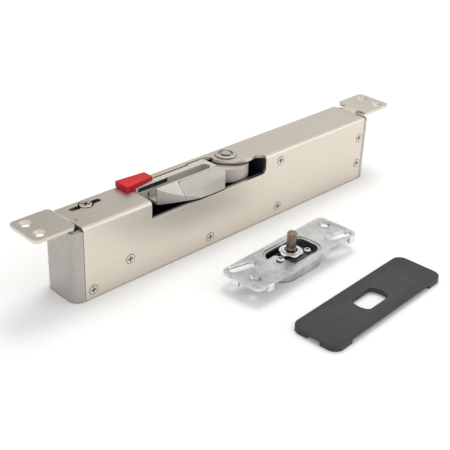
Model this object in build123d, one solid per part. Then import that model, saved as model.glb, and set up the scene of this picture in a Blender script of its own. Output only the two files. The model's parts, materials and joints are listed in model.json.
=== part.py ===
from build123d import *
import os
from math import atan, cos, pi, radians, sin, sqrt, tan

# Recessed door damper with its striker and striker cover, in millimetres.
# The origin is the centre of the housing's underside. X runs along the housing, Y away from
# the open side of the cut-out, and Z up through the face that shows once it is let in.

# Clearances
RUNNING = 0.05        # shaft in its bore, radial
SLIDING = 0.3         # between flat faces that move past each other
SEAM = 0.15           # fixed pieces that lie side by side with a line between them

# Housing
LENGTH = 238.0        # sheet channel
WIDTH = 28.6
HEIGHT = 46.0
SHEET = 2.0
BEND_INNER = 0.4
END_LENGTH = 7.4      # each end block stands this far past the sheet
END_DEPTH = 12.0      # and reaches this far in under it
END_FLAT = 0.6        # straight part beside the sheet, before the block's round corner
END_POCKET = 3.0      # hollow in its top by the ear's neck, this deep and this far out

# Fixing ears
EAR_LENGTH = 26.0
EAR_WIDTH = 25.8
EAR_LIFT = 2.4
EAR_GAP = 3.0         # from the sheet's end to the ear
EAR_CORNER = 3.5
EAR_INNER_CORNER = 3.0
NECK_WIDTH = 10.0
NECK_BEND = 2.0
EAR_HOLES_INSET = 7.0  # from the ear's outer edge
EAR_HOLES_Y = 13.0
EAR_HOLE_RADIUS = 2.25
EAR_SINK_RADIUS = 3.7

# Pivot of the arm
PIVOT_X = 3.7
PIVOT_Y = 4.15
ARM_OPEN = 65.0       # degrees

# Cut-out in the top and front of the sheet
CUT_LEFT = -71.5
CUT_RIGHT = 21.5
CUT_DEPTH = 11.5      # from the sheet's top down to the sill
CUT_FAR = 8.9
CUT_STEP_X = -24.5
CUT_STEP = 1.2
CUT_CORNER = 2.5
CUT_END = 12.5        # the stepped part ends this far left of the pivot
TAB_DROP = 15.4       # from the pivot to the right-hand end of the tab's edge
# Edge of the tab that holds the top bush, from the pivot
TAB_EDGE = [(-9.7, 4.0), (-9.3, -2.2), (-5.6, -6.8), (0.2, -11.5), (6.0, -13.2), (13.6, -12.6)]

# Frame and liner inside the housing
FLOOR = 2.0
FRAME_WALL = 1.5
FRAME_TOP = 22.0
LINER_WALL = 1.3
BEARING_PLATE = 1.6
BEARING_PLATE_HALF = 17.0
BLOCK_EDGE = 0.6

# Arm
ARM_DEPTH = 10.7      # from the sheet's top down to its underside
ARM_TIP = -68.5
ARM_END = -11.1       # right-hand end of its full height part
ARM_FRONT = -14.1
RAIL_FAR = 7.7
GROOVE_WIDTH = 6.8
GROOVE_CENTRE = 0.3
GROOVE_END = -14.3
GROOVE_DEPTH = 9.0
NOSE_TIP = -58.9
NOSE_ROOT = -32.5
NOSE_BOW = 0.8
MARK_WIDTH = 1.2      # short upright slot in the groove's far wall, by the nose's tip
MARK_DEPTH = 1.5
MARK_LOW = 0.5        # its lower and upper ends, above the groove's floor
MARK_HIGH = 4.0
HOOD_SEAM = -43.0
RAIL_TOP = 0.8        # flat strip between the groove and the hood
HOOD_CORNER = 5.0
HOOD_ROUND = 3.5      # shoulder of the hood at its right-hand end
HOOD_WALL = 2.8
HOOD_SCREW_INSET = 8.0
HOOD_SCREW_LEFT_Y = -7.4
HOOD_SCREW_RIGHT_Y = -8.4
HOOD_SCREW_HEAD = 2.2
HOOD_SCREW_SHANK = 1.2
HOOD_SCREW_LENGTH = 5.5
HOOD_SCREW_SLOT = 0.6
HUB_RADIUS = 14.6
HUB_BACK_RADIUS = 6.5
HUB_BRIDGE = 7.0      # web from the arm to the hub starts this far before the pivot
HUB_DROP = 1.6        # the hub reaches this far under the arm
HUB_START = -42.0     # degrees at rest, where the large radius starts
HUB_ARC = 130.0
BUFFER_LEFT = -66.7
BUFFER_RIGHT = -44.5
BUFFER_DEPTH = 2.0
BUFFER_HEIGHT = 2.6
BUFFER_DROP = 0.5

# Spindle and its bearings
JOURNAL_LOW = 3.0
JOURNAL_MIDDLE = 4.8
JOURNAL_TOP = 2.25
HEX_ARM = 3.5         # from the axis to a flat
HEX_PINION = 3.6
SPINDLE_END = 0.3     # above the floor
RIVET = 0.7           # stands past the top bush
RIVET_RADIUS = 2.8
RIVET_ROUND = 0.5
CLIP_THICK = 0.8
CLIP_GROOVE = 0.5
CLIP_RIM = 2.0
CLIP_MOUTH = 3.2
LOW_BUSH_HEIGHT = 4.0
LOW_BUSH_WALL = 2.4
MIDDLE_BUSH_WALL = 1.1
MIDDLE_FLANGE = 1.2
MIDDLE_FLANGE_RIM = 0.8
TOP_BUSH_WALL = 1.7
TOP_FLANGE_RADIUS = 6.8
TOP_FLANGE = 1.1
TOP_DISH_RADIUS = 4.7
TOP_DISH = 0.7        # depth of the dish around the rivet
WASHER_RADIUS = 6.5
WASHER = 0.45

# Pinion sector and rack
MODULE = 1.0
TEETH = 18            # on the full circle
SECTOR_TEETH = 6
PRESSURE_ANGLE = 20.0
BACKLASH = 0.3
DEDENDUM = 1.25       # root depth under the pitch line
GEAR_BOTTOM = 8.0
GEAR_TOP = 18.0
SECTOR_HUB = 5.8
SECTOR_MARGIN = 0.75  # of a tooth's pitch, past the middle of the last tooth
FLANK_STEPS = 5       # points along each side of a tooth

# Rack carriage
CARRIAGE_BACK = 22.2  # its ends, left and right of the pivot
CARRIAGE_AHEAD = 23.8
CARRIAGE_PLATE = 4.0
RACK_TEETH_LEFT = 5
RACK_TEETH_RIGHT = 2
LEFT_PLATE_FAR = 6.0

# Oil damper
AXIS_Z = 12.0         # shared by the damper and the closing spring
TUBE_RADIUS = 8.0
TUBE_WALL = 1.2
TUBE_LENGTH = 50.0
VALVE_BLOCK = 9.0
SPIGOT = 4.0
GLAND_LENGTH = 4.0
ROD_RADIUS = 2.5
PISTON_START = 16.0   # from the tube's left end, at rest
PISTON_LENGTH = 6.0
PISTON_GAP = 0.1
PISTON_GROOVE = 1.6
PISTON_GROOVE_DEPTH = 1.2
SEAL_LENGTH = 1.6
SEAL_THICK = 1.4
SADDLE_LENGTH = 7.0
SADDLE_INSET = 4.0
SADDLE_DROP = 2.0     # the saddles end this far under the tube's axis
ROD_NUT = 4.0
ROD_NUT_LENGTH = 3.0

# Closing spring
SPRING_RADIUS = 6.6   # to the middle of the wire
WIRE_RADIUS = 0.9
SPRING_TURNS = 11
ANCHOR_LENGTH = 8.0
GUIDE_RADIUS = 3.0
GUIDE_PLAY = 4.8      # left between the guide rod and the carriage at full travel
GUIDE_SEAT = 5.0
GUIDE_CHAMFER = 0.6
SPRING_PILOT = 3.0    # spigot on the carriage, inside the spring's first turns

# Adjuster in the top of the housing
ADJUSTER_INSET = 5.5  # from the frame's left end
ADJUSTER_Y = 7.0
ADJUSTER_HEAD = 3.7
ADJUSTER_DOME = 0.6   # stands above the sheet
ADJUSTER_SHANK = 1.5
NEEDLE_LENGTH = 3.0
NEEDLE_BOTTOM = 14.0
SLOT_BACK = 11.0      # ends of the slot, left and right of the adjuster
SLOT_AHEAD = 10.0
SLOT_WIDTH = 3.8
SLOT_EYE = 4.4
SLOT_DEPTH = 1.5
WEDGE_DEPTH = 0.3     # engraved wedge and dimple, near the slot
WEDGE_INSET = 3.1     # its broad end, from the slot's left end
WEDGE_REACH = 1.5     # its point, from the slot's right end
WEDGE_FAR = -0.4
WEDGE_NEAR = -2.6
WEDGE_POINT = -3.7
DIMPLE_BACK = 3.5
DIMPLE_Y = -3.6
DIMPLE_RADIUS = 0.7

# Countersunk screws through the sheet
SCREW_HEAD = 2.7
SCREW_SINK = 1.2
SCREW_SHANK = 1.5
SCREW_LENGTH = 3.3
SCREW_RIM = 0.35      # ring that the sheet leaves open around a head
SCREW_RIM_DEPTH = 0.35
RECESS_WIDTH = 0.95
RECESS_DEPTH = 0.8
RECESS_REACH = 1.3    # length of a cross's blades, for a head of radius 1

# Blocks that hold the sheet's top off the frame
HOLD_WALL = 4.0       # top and side walls of their hollow
HOLD_LEFT = 12.0      # and its end walls
HOLD_RIGHT = 8.0

# Transport clip
TRANSPORT_LEFT = -75.5
TRANSPORT_RIGHT = -53.5
TRANSPORT_NEAR = 3.0       # near edge at its left end
TRANSPORT_NEAR_RIGHT = 6.4
TRANSPORT_HEIGHT = 3.4     # at its left end
TRANSPORT_HEIGHT_RIGHT = 2.3
TRANSPORT_CORNER = 0.8
TRANSPORT_ROUND = 0.4
TONGUE_THICK = 2.0
TONGUE_LENGTH = 8.0   # under the sheet's top

# Striker plate
STRIKER_X = -5.5
STRIKER_Y = -63.2
STRIKER_YAW = 3.3
STRIKER_LENGTH = 93.0
STRIKER_WIDTH = 29.2
STRIKER_TOP = 10.5
STRIKER_SHEET = 1.7
STRIKER_CORNER = 4.5
CUP_LENGTH = 45.0
CUP_WIDTH = 25.6
CUP_WALL = 1.6
CUP_DRAFT = 1.2
WINDOW_LENGTH = 34.0
WINDOW_WIDTH = 19.6
WINDOW_CORNER = 7.0
LEDGE = 1.8
LEDGE_DEPTH = 0.6
TONGUE_END = -9.4     # the plate's tongue covers the window's near left part up to here
TONGUE_FAR = 4.6
TONGUE_CORNER = 2.5
STRIKER_SLOT_TURN = -13.5
STRIKER_SLOT_MARGIN = 7.0  # of the plate's length beside the cup, what its slot leaves
STRIKER_SLOT_RADIUS = 2.4
STRIKER_SLOT_SINK = 3.3
STRIKER_HOLE_RADIUS = 2.25
STRIKER_SINK_RADIUS = 3.7
LUG_LENGTH = 5.0
LUG_THICK = 1.8
LUG_DROP = 2.6
LUG_STEP = 0.5        # the lugs stand this far past the plate's edge
LUGS_AT_ENDS = [(-1, 3.0), (1, -4.5)]  # side of X, and y

# Slider, pin, nut and clamp screws in the striker
SLIDER_LENGTH = 27.0
SLIDER_WIDTH = 16.8
SLIDER_HEIGHT = 5.6
SLIDER_CORNER = 4.0
SLIDER_EDGE = 0.6
PIN_X = -0.1
PIN_Y = 0.7
PIN_RADIUS = 3.0
PIN_TOP = 23.1
PIN_CHAMFER = 0.6
PIN_SINK = 4.0
PIN_THREAD = 2.6      # the threaded foot, up to just above the nut
PIN_SHOULDER = 0.3    # from the nut's face up to where the full radius starts
NUT_FLAT = 6.9
NUT_CORNER = 7.45     # radius that its corners are turned down to
NUT_CHAMFER = 0.6
NUT_HEIGHT = 3.4
NUT_FACE_RADIUS = 5.4
NUT_FACE = 0.6
NUT_DISH_RADIUS = 4.1
NUT_DISH = 1.3        # depth of the dish around the pin
CLAMP_HEAD = 2.2
CLAMP_HEAD_HEIGHT = 1.8
CLAMP_SHANK = 1.2
CLAMP_LENGTH = 4.0
CLAMP_RIGHT = (10.6, -3.4)
CLAMP_LEFT = (-13.2, -2.2)  # through the plate's tongue
PIN_TRAVEL = 1.5      # the slider can be set this far each way

# Striker cover
COVER_X = -1.5
COVER_Y = -119.2
COVER_YAW = 3.0
COVER_LENGTH = 103.0
COVER_WIDTH = 31.0
COVER_HEIGHT = 3.8
COVER_PLATE = 1.4
COVER_CORNER = 6.0
COVER_SKIRT = 1.6
COVER_SKIRT_LENGTH = 14.0
COVER_NOTCH = 8.5
COVER_HOLE_LENGTH = 22.6
COVER_HOLE_WIDTH = 12.8
COVER_HOLE_CORNER = 3.4
COVER_COLLAR = 1.2    # rim under the window, this thick
COVER_COLLAR_BOTTOM = 0.8
COVER_EDGE = 0.5

# Worked out from the above
HALF_LENGTH = LENGTH / 2
HALF_WIDTH = WIDTH / 2
SHEET_INSIDE = HALF_WIDTH - SHEET
FRAME_INSIDE = SHEET_INSIDE - FRAME_WALL
UNDER_SHEET = HEIGHT - SHEET
END_CORNER = END_LENGTH - END_FLAT
EAR_START = HALF_LENGTH + EAR_GAP
EAR_END = EAR_START + EAR_LENGTH
EAR_HOLES_X = EAR_END - EAR_HOLES_INSET
EAR_TOP = HEIGHT + EAR_LIFT
FRAME_HALF = HALF_LENGTH - END_DEPTH
CUT_SILL = HEIGHT - CUT_DEPTH
LINER_LEFT = CUT_LEFT - LINER_WALL
LINER_RIGHT = CUT_RIGHT + LINER_WALL
LINER_FLOOR = FRAME_TOP + LINER_WALL
PLATE_BOTTOM = FRAME_TOP - BEARING_PLATE
ARM_BOTTOM = HEIGHT - ARM_DEPTH
GROOVE_FLOOR = HEIGHT - GROOVE_DEPTH
GROOVE_NEAR = GROOVE_CENTRE - GROOVE_WIDTH / 2
GROOVE_FAR = GROOVE_CENTRE + GROOVE_WIDTH / 2
HOOD_TOP_LINE = GROOVE_NEAR - RAIL_TOP
HUB_BOTTOM = ARM_BOTTOM - HUB_DROP
HUB_TOP = UNDER_SHEET - SLIDING - 2 * (WASHER + RUNNING)
DISH_FLOOR = HEIGHT + TOP_FLANGE - TOP_DISH
CLIP_Z = GEAR_BOTTOM - CLIP_THICK
PITCH_RADIUS = MODULE * TEETH / 2
ROOT_RADIUS = PITCH_RADIUS - DEDENDUM
RACK_LINE = PIVOT_Y - PITCH_RADIUS
RACK_TRAVEL = PITCH_RADIUS * radians(ARM_OPEN)
CARRIAGE_LEFT = PIVOT_X - CARRIAGE_BACK
CARRIAGE_RIGHT = PIVOT_X + CARRIAGE_AHEAD
CARRIAGE_TOP = PLATE_BOTTOM - SLIDING
CARRIAGE_BOTTOM = FLOOR + SLIDING
CARRIAGE_HALF = FRAME_INSIDE - SLIDING
TUBE_INSIDE = TUBE_RADIUS - TUBE_WALL
TUBE_LEFT = -FRAME_HALF + VALVE_BLOCK
TUBE_RIGHT = TUBE_LEFT + TUBE_LENGTH
PISTON_LEFT = TUBE_LEFT + PISTON_START
PISTON_RADIUS = TUBE_INSIDE - PISTON_GAP
SPRING_RIGHT = FRAME_HALF - ANCHOR_LENGTH
GUIDE_LEFT = CARRIAGE_RIGHT + RACK_TRAVEL + SPRING_PILOT + GUIDE_PLAY
ADJUSTER_X = -FRAME_HALF + ADJUSTER_INSET
SLOT_LEFT = ADJUSTER_X - SLOT_BACK
SLOT_RIGHT = ADJUSTER_X + SLOT_AHEAD
SCREW_PLACES = [      # as (x, z)
    (-HALF_LENGTH + 5.3, 5.5),
    (CUT_LEFT - 16.0, 15.0),
    (PIVOT_X - 28.9, 6.0),
    (CUT_RIGHT + 13.5, 6.5),
    (CUT_RIGHT + 13.5, HEIGHT - 6.8),
    (HALF_LENGTH - 4.2, HEIGHT - 14.0),
    (HALF_LENGTH - 3.8, 12.8),
]
HOOD_SCREWS = [
    (HOOD_SEAM + HOOD_SCREW_INSET, HOOD_SCREW_LEFT_Y),
    (ARM_END - HOOD_SCREW_INSET, HOOD_SCREW_RIGHT_Y),
]
STRIKER_END = STRIKER_LENGTH / 2
STRIKER_SIDE = STRIKER_WIDTH / 2
STRIKER_UNDER = STRIKER_TOP - STRIKER_SHEET
STRIKER_SLOT_LENGTH = STRIKER_END - CUP_LENGTH / 2 - STRIKER_SLOT_MARGIN
STRIKER_SLOT_MIDDLE = (STRIKER_END + CUP_LENGTH / 2) / 2
STRIKER_SLOTS = [
    (-STRIKER_SLOT_MIDDLE + 0.5, STRIKER_SIDE - 5.4),
    (STRIKER_SLOT_MIDDLE + 0.7, -STRIKER_SIDE + 6.6),
]
STRIKER_HOLES = [
    (-STRIKER_END + 8.3, -STRIKER_SIDE + 10.2),
    (STRIKER_END - 6.1, STRIKER_SIDE - 8.0),
]
LUGS_AT_SIDES = [     # x, and side of Y
    (-STRIKER_END + 10.0, -1),
    (STRIKER_END - 6.5, -1),
    (STRIKER_END - 9.5, 1),
]
SLIDER_BOTTOM = CUP_WALL + SEAM
SLIDER_TOP = SLIDER_BOTTOM + SLIDER_HEIGHT
NUT_TOP = SLIDER_TOP + NUT_HEIGHT
STRIKER_PLACE = Pos(STRIKER_X, STRIKER_Y, 0) * Rot(0, 0, STRIKER_YAW)
COVER_PLACE = Pos(COVER_X, COVER_Y, 0) * Rot(0, 0, COVER_YAW)
BEYOND = 60.0         # cutting tools reach this far past what they cut


def block(x0, x1, y0, y1, z0, z1):
    """A box between two opposite corners."""
    return Pos((x0 + x1) / 2, (y0 + y1) / 2, (z0 + z1) / 2) * Box(x1 - x0, y1 - y0, z1 - z0)


def rod_z(x, y, z0, z1, radius):
    return Pos(x, y, (z0 + z1) / 2) * Cylinder(radius, z1 - z0)


def rod_x(x0, x1, y, z, radius):
    return Pos((x0 + x1) / 2, y, z) * Rot(0, 90, 0) * Cylinder(radius, x1 - x0)


def hex_z(x, y, z0, z1, flat):
    """A hexagonal bar, given the distance from its axis to a flat."""
    return Pos(x, y, z0) * extrude(RegularPolygon(flat, 6, major_radius=False), z1 - z0)


def prism(outline, z0, z1):
    """Extrudes a closed plan outline from z0 to z1."""
    return Pos(0, 0, z0) * extrude(make_face(outline), z1 - z0)


def rounded_plate(length, width, corner, z0, z1):
    return Pos(0, 0, z0) * extrude(RectangleRounded(length, width, corner), z1 - z0)


def slot_prism(length, width, z0, z1):
    """A straight slot along X with round ends, centred on the origin."""
    return Pos(0, 0, z0) * extrude(SlotOverall(length, width), z1 - z0)


def sink_z(x, y, top, head_radius, hole_radius):
    """The 90 degree cone for a countersunk head, widest at the height top."""
    depth = head_radius - hole_radius
    return Pos(x, y, top - depth / 2) * Cone(hole_radius, head_radius, depth)


def edges_where(solid, axis, test):
    """The straight edges along an axis whose middle passes the test."""
    return [edge for edge in solid.edges().filter_by(axis) if test(edge.center())]


def sector_face(radius, first, last):
    """A pie slice about the origin, between two angles in degrees."""
    start, middle, finish = [
        (radius * cos(radians(angle)), radius * sin(radians(angle)))
        for angle in (first, (first + last) / 2, last)
    ]
    arc = ThreePointArc(start, middle, finish)
    sides = Polyline(finish, (0, 0), start)
    return make_face([*arc.edges(), *sides.edges()])


def cross_recess(reach, depth):
    """Two crossed blades, cut down from z = 0."""
    blade = block(-reach / 2, reach / 2, -RECESS_WIDTH / 2, RECESS_WIDTH / 2, -depth, depth)
    return blade + Rot(0, 0, 90) * blade


def countersunk_screw():
    """A screw with its flush face at z = 0 and its point at z = -SCREW_LENGTH."""
    head = Pos(0, 0, -SCREW_SINK / 2) * Cone(SCREW_SHANK, SCREW_HEAD, SCREW_SINK)
    shank = rod_z(0, 0, -SCREW_LENGTH, -SCREW_SINK, SCREW_SHANK)
    return head + shank - cross_recess(RECESS_REACH * SCREW_HEAD, RECESS_DEPTH)


def at_side(side, place, shape):
    """Turns a piece drawn along Z so that it enters the housing's side at (x, z)."""
    x, z = place
    return Pos(x, side * HALF_WIDTH, z) * Rot(-side * 90, 0, 0) * shape


def screw_tools(clearance):
    """All the screws through both sides of the sheet, fattened by a clearance."""
    head = Pos(0, 0, -SCREW_SINK / 2) * Cone(
        SCREW_SHANK + clearance, SCREW_HEAD + clearance, SCREW_SINK
    )
    hole = rod_z(0, 0, -SCREW_LENGTH - clearance, 0, SCREW_SHANK + clearance)
    return [at_side(side, place, head + hole) for side in (-1, 1) for place in SCREW_PLACES]


def side_screws(side):
    return [at_side(side, place, countersunk_screw()) for place in SCREW_PLACES]


def cut_out():
    """The space that the sheet leaves open for the arm, with the tab that holds the top bush."""
    tab = [(PIVOT_X + x, PIVOT_Y + y) for x, y in TAB_EDGE]
    sides = [
        Polyline(
            (CUT_RIGHT, PIVOT_Y - TAB_DROP),
            (CUT_RIGHT, -BEYOND),
            (CUT_LEFT, -BEYOND),
            (CUT_LEFT, CUT_FAR),
            (CUT_STEP_X - SLIDING, CUT_FAR),
            (CUT_STEP_X - SLIDING, CUT_FAR + CUT_STEP),
            (PIVOT_X - CUT_END, CUT_FAR + CUT_STEP),
            tab[0],
        ),
        Spline(*tab),
        Line(tab[-1], (CUT_RIGHT, PIVOT_Y - TAB_DROP)),
    ]
    top = [edge for side in sides for edge in side.edges()]
    through_top = prism(top, UNDER_SHEET - BEND_INNER, HEIGHT + BEYOND)
    through_front = block(CUT_LEFT, CUT_RIGHT, -BEYOND, -SHEET_INSIDE, CUT_SILL, UNDER_SHEET)
    corner = edges_where(
        through_front, Axis.Y, lambda c: c.X > CUT_RIGHT - 1 and c.Z < CUT_SILL + 1
    )
    return through_top + fillet(corner, CUT_CORNER)


def ear(side):
    """One raised ear on its sloping neck, between two round-ended notches."""
    start = HALF_LENGTH - 2 * NECK_BEND
    profile = Polyline(
        (start, UNDER_SHEET),
        (HALF_LENGTH, UNDER_SHEET),
        (EAR_START, EAR_TOP - SHEET),
        (EAR_END, EAR_TOP - SHEET),
        (EAR_END, EAR_TOP),
        (EAR_START, EAR_TOP),
        (HALF_LENGTH, HEIGHT),
        (start, HEIGHT),
        close=True,
    )
    strip = extrude(Plane.XZ * make_face(profile), EAR_WIDTH / 2, both=True)
    bends = edges_where(
        strip, Axis.Y, lambda c: min(abs(c.X - HALF_LENGTH), abs(c.X - EAR_START)) < 0.1
    )
    strip = fillet(bends, NECK_BEND)
    strip = fillet(edges_where(strip, Axis.Z, lambda c: c.X > EAR_END - 0.1), EAR_CORNER)
    round_end = EAR_GAP / 2
    for edge in (-1, 1):
        root = edge * (NECK_WIDTH / 2 + round_end)
        strip -= block(
            start - 1, EAR_START, min(root, edge * WIDTH), max(root, edge * WIDTH),
            0, HEIGHT + BEYOND,
        )
        strip -= rod_z(HALF_LENGTH + round_end, root, 0, HEIGHT + BEYOND, round_end)
    inner = edges_where(
        strip, Axis.Z, lambda c: abs(c.X - EAR_START) < 0.1 and abs(c.Y) > EAR_WIDTH / 2 - 0.1
    )
    strip = fillet(inner, EAR_INNER_CORNER)
    for y in (-EAR_HOLES_Y / 2, EAR_HOLES_Y / 2):
        strip -= rod_z(EAR_HOLES_X, y, 0, EAR_TOP + 1, EAR_HOLE_RADIUS)
        strip -= sink_z(EAR_HOLES_X, y, EAR_TOP, EAR_SINK_RADIUS, EAR_HOLE_RADIUS)
    return strip if side > 0 else mirror(strip, Plane.YZ)


def cover_channel():
    """The bent sheet: top with ears and cut-out, front flange and rear flange."""
    outer = block(-HALF_LENGTH, HALF_LENGTH, -HALF_WIDTH, HALF_WIDTH, 0, HEIGHT)
    outer = fillet(edges_where(outer, Axis.X, lambda c: c.Z > UNDER_SHEET), BEND_INNER + SHEET)
    inner = block(-LENGTH, LENGTH, -SHEET_INSIDE, SHEET_INSIDE, -1, UNDER_SHEET)
    inner = fillet(edges_where(inner, Axis.X, lambda c: c.Z > 0), BEND_INNER)
    channel = outer - inner - cut_out() + ear(-1) + ear(1)
    for tool in screw_tools(0):
        channel -= tool
    for side in (-1, 1):
        for place in SCREW_PLACES:
            rim = rod_z(0, 0, -SCREW_RIM_DEPTH, BEYOND, SCREW_HEAD + SCREW_RIM)
            channel -= at_side(side, place, rim)
    channel -= slot_tool(UNDER_SHEET - 1, HEIGHT + 1)
    channel -= rod_z(PIVOT_X, PIVOT_Y, UNDER_SHEET - 1, HEIGHT + 1, JOURNAL_TOP + TOP_BUSH_WALL)
    wedge = Polyline(
        (SLOT_LEFT + WEDGE_INSET, WEDGE_FAR),
        (SLOT_LEFT + WEDGE_INSET, WEDGE_NEAR),
        (SLOT_RIGHT - WEDGE_REACH, WEDGE_POINT),
        close=True,
    )
    engraved = prism(wedge, HEIGHT - WEDGE_DEPTH, HEIGHT + 1)
    engraved += rod_z(
        SLOT_LEFT - DIMPLE_BACK, DIMPLE_Y, HEIGHT - WEDGE_DEPTH, HEIGHT + 1, DIMPLE_RADIUS
    )
    return channel - engraved


def slot_tool(z0, z1):
    """The slot with a round eye in the middle that the adjuster shows in."""
    middle = (SLOT_LEFT + SLOT_RIGHT) / 2
    slot = Pos(middle, ADJUSTER_Y, 0) * slot_prism(SLOT_RIGHT - SLOT_LEFT, SLOT_WIDTH, z0, z1)
    return slot + rod_z(ADJUSTER_X, ADJUSTER_Y, z0, z1, SLOT_EYE)


def end_block(side):
    """A cast block that closes one end, with large round corners outside the sheet."""
    end = HALF_LENGTH + END_LENGTH
    outer = block(HALF_LENGTH, end, -HALF_WIDTH, HALF_WIDTH, 0, UNDER_SHEET)
    outer = fillet(edges_where(outer, Axis.Z, lambda c: c.X > end - 0.1), END_CORNER)
    inner = block(FRAME_HALF, HALF_LENGTH, -SHEET_INSIDE, SHEET_INSIDE, 0, UNDER_SHEET)
    inner = chamfer(edges_where(inner, Axis.X, lambda c: c.Z > 1), BLOCK_EDGE)
    pocket = block(
        HALF_LENGTH - END_POCKET, HALF_LENGTH + END_POCKET, SHEET - SHEET_INSIDE,
        SHEET_INSIDE - SHEET, UNDER_SHEET - END_POCKET, HEIGHT,
    )
    result = outer + inner - pocket
    if side < 0:
        result = mirror(result, Plane.YZ)
        result -= slot_tool(UNDER_SHEET - SLOT_DEPTH, HEIGHT)
    for tool in screw_tools(RUNNING):
        result -= tool
    return result


def inner_frame():
    """The trough that carries the damper, the rack and the spring."""
    outer = block(-FRAME_HALF, FRAME_HALF, -SHEET_INSIDE, SHEET_INSIDE, 0, FRAME_TOP)
    inner = block(-LENGTH, LENGTH, -FRAME_INSIDE, FRAME_INSIDE, FLOOR, FRAME_TOP + 1)
    frame = outer - inner
    frame -= block(
        PIVOT_X - BEARING_PLATE_HALF, PIVOT_X + BEARING_PLATE_HALF, -BEYOND, BEYOND,
        PLATE_BOTTOM, FRAME_TOP + 1,
    )
    for tool in screw_tools(RUNNING):
        frame -= tool
    return frame


def bearing_plate():
    """Steel strip across the frame that holds the middle bush."""
    plate = block(
        PIVOT_X - BEARING_PLATE_HALF, PIVOT_X + BEARING_PLATE_HALF,
        -SHEET_INSIDE, SHEET_INSIDE, PLATE_BOTTOM, FRAME_TOP,
    )
    hole = JOURNAL_MIDDLE + RUNNING + MIDDLE_BUSH_WALL
    return plate - rod_z(PIVOT_X, PIVOT_Y, 0, HEIGHT, hole)


def pocket_liner():
    """Dark tray under the arm, open on top and, above the sill, at the front."""
    tray = block(LINER_LEFT, LINER_RIGHT, -SHEET_INSIDE, SHEET_INSIDE, FRAME_TOP, UNDER_SHEET)
    tray = chamfer(edges_where(tray, Axis.X, lambda c: c.Z > FRAME_TOP + 1), BLOCK_EDGE)
    tray -= block(
        CUT_LEFT, CUT_RIGHT, -SHEET_INSIDE + LINER_WALL, SHEET_INSIDE - LINER_WALL,
        LINER_FLOOR, HEIGHT,
    )
    tray -= block(CUT_LEFT, CUT_RIGHT, -BEYOND, LINER_WALL - SHEET_INSIDE, CUT_SILL, HEIGHT)
    hole = JOURNAL_MIDDLE + RUNNING + MIDDLE_BUSH_WALL
    return tray - rod_z(PIVOT_X, PIVOT_Y, 0, HEIGHT, hole)


def upper_block(x0, x1):
    """A block that holds the sheet's top off the frame, hollowed from below."""
    body = block(x0, x1, -SHEET_INSIDE, SHEET_INSIDE, FRAME_TOP, UNDER_SHEET)
    body = chamfer(edges_where(body, Axis.X, lambda c: c.Z > FRAME_TOP + 1), BLOCK_EDGE)
    body -= block(
        x0 + HOLD_LEFT, x1 - HOLD_RIGHT, HOLD_WALL - SHEET_INSIDE, SHEET_INSIDE - HOLD_WALL,
        FRAME_TOP, UNDER_SHEET - HOLD_WALL,
    )
    for tool in screw_tools(RUNNING):
        body -= tool
    return body


def adjuster_block():
    body = upper_block(-FRAME_HALF, LINER_LEFT)
    body -= slot_tool(UNDER_SHEET - SLOT_DEPTH, HEIGHT)
    return body - rod_z(ADJUSTER_X, ADJUSTER_Y, 0, HEIGHT, ADJUSTER_SHANK + RUNNING)


def spacer_block():
    return upper_block(LINER_RIGHT, FRAME_HALF)


def low_bush():
    """Blind bush on the floor, under the spindle."""
    outer = JOURNAL_LOW + LOW_BUSH_WALL
    body = rod_z(PIVOT_X, PIVOT_Y, FLOOR, FLOOR + LOW_BUSH_HEIGHT, outer)
    bore = rod_z(PIVOT_X, PIVOT_Y, FLOOR, HEIGHT, JOURNAL_LOW + RUNNING)
    return body - bore


def middle_bush():
    bore = JOURNAL_MIDDLE + RUNNING
    outer = bore + MIDDLE_BUSH_WALL
    body = rod_z(PIVOT_X, PIVOT_Y, PLATE_BOTTOM, LINER_FLOOR, outer)
    body += rod_z(
        PIVOT_X, PIVOT_Y, LINER_FLOOR, LINER_FLOOR + MIDDLE_FLANGE, outer + MIDDLE_FLANGE_RIM
    )
    return body - rod_z(PIVOT_X, PIVOT_Y, 0, HEIGHT, bore)


def top_bush():
    """Flanged bush in the sheet's tab, the ring that shows around the rivet."""
    body = rod_z(PIVOT_X, PIVOT_Y, UNDER_SHEET, HEIGHT, JOURNAL_TOP + TOP_BUSH_WALL)
    flange = rod_z(PIVOT_X, PIVOT_Y, HEIGHT, HEIGHT + TOP_FLANGE, TOP_FLANGE_RADIUS)
    body += chamfer(flange.edges().group_by(Axis.Z)[-1], TOP_FLANGE / 3)
    body -= rod_z(PIVOT_X, PIVOT_Y, DISH_FLOOR, HEIGHT + BEYOND, TOP_DISH_RADIUS)
    return body - rod_z(PIVOT_X, PIVOT_Y, 0, HEIGHT + BEYOND, JOURNAL_TOP + RUNNING)


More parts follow.
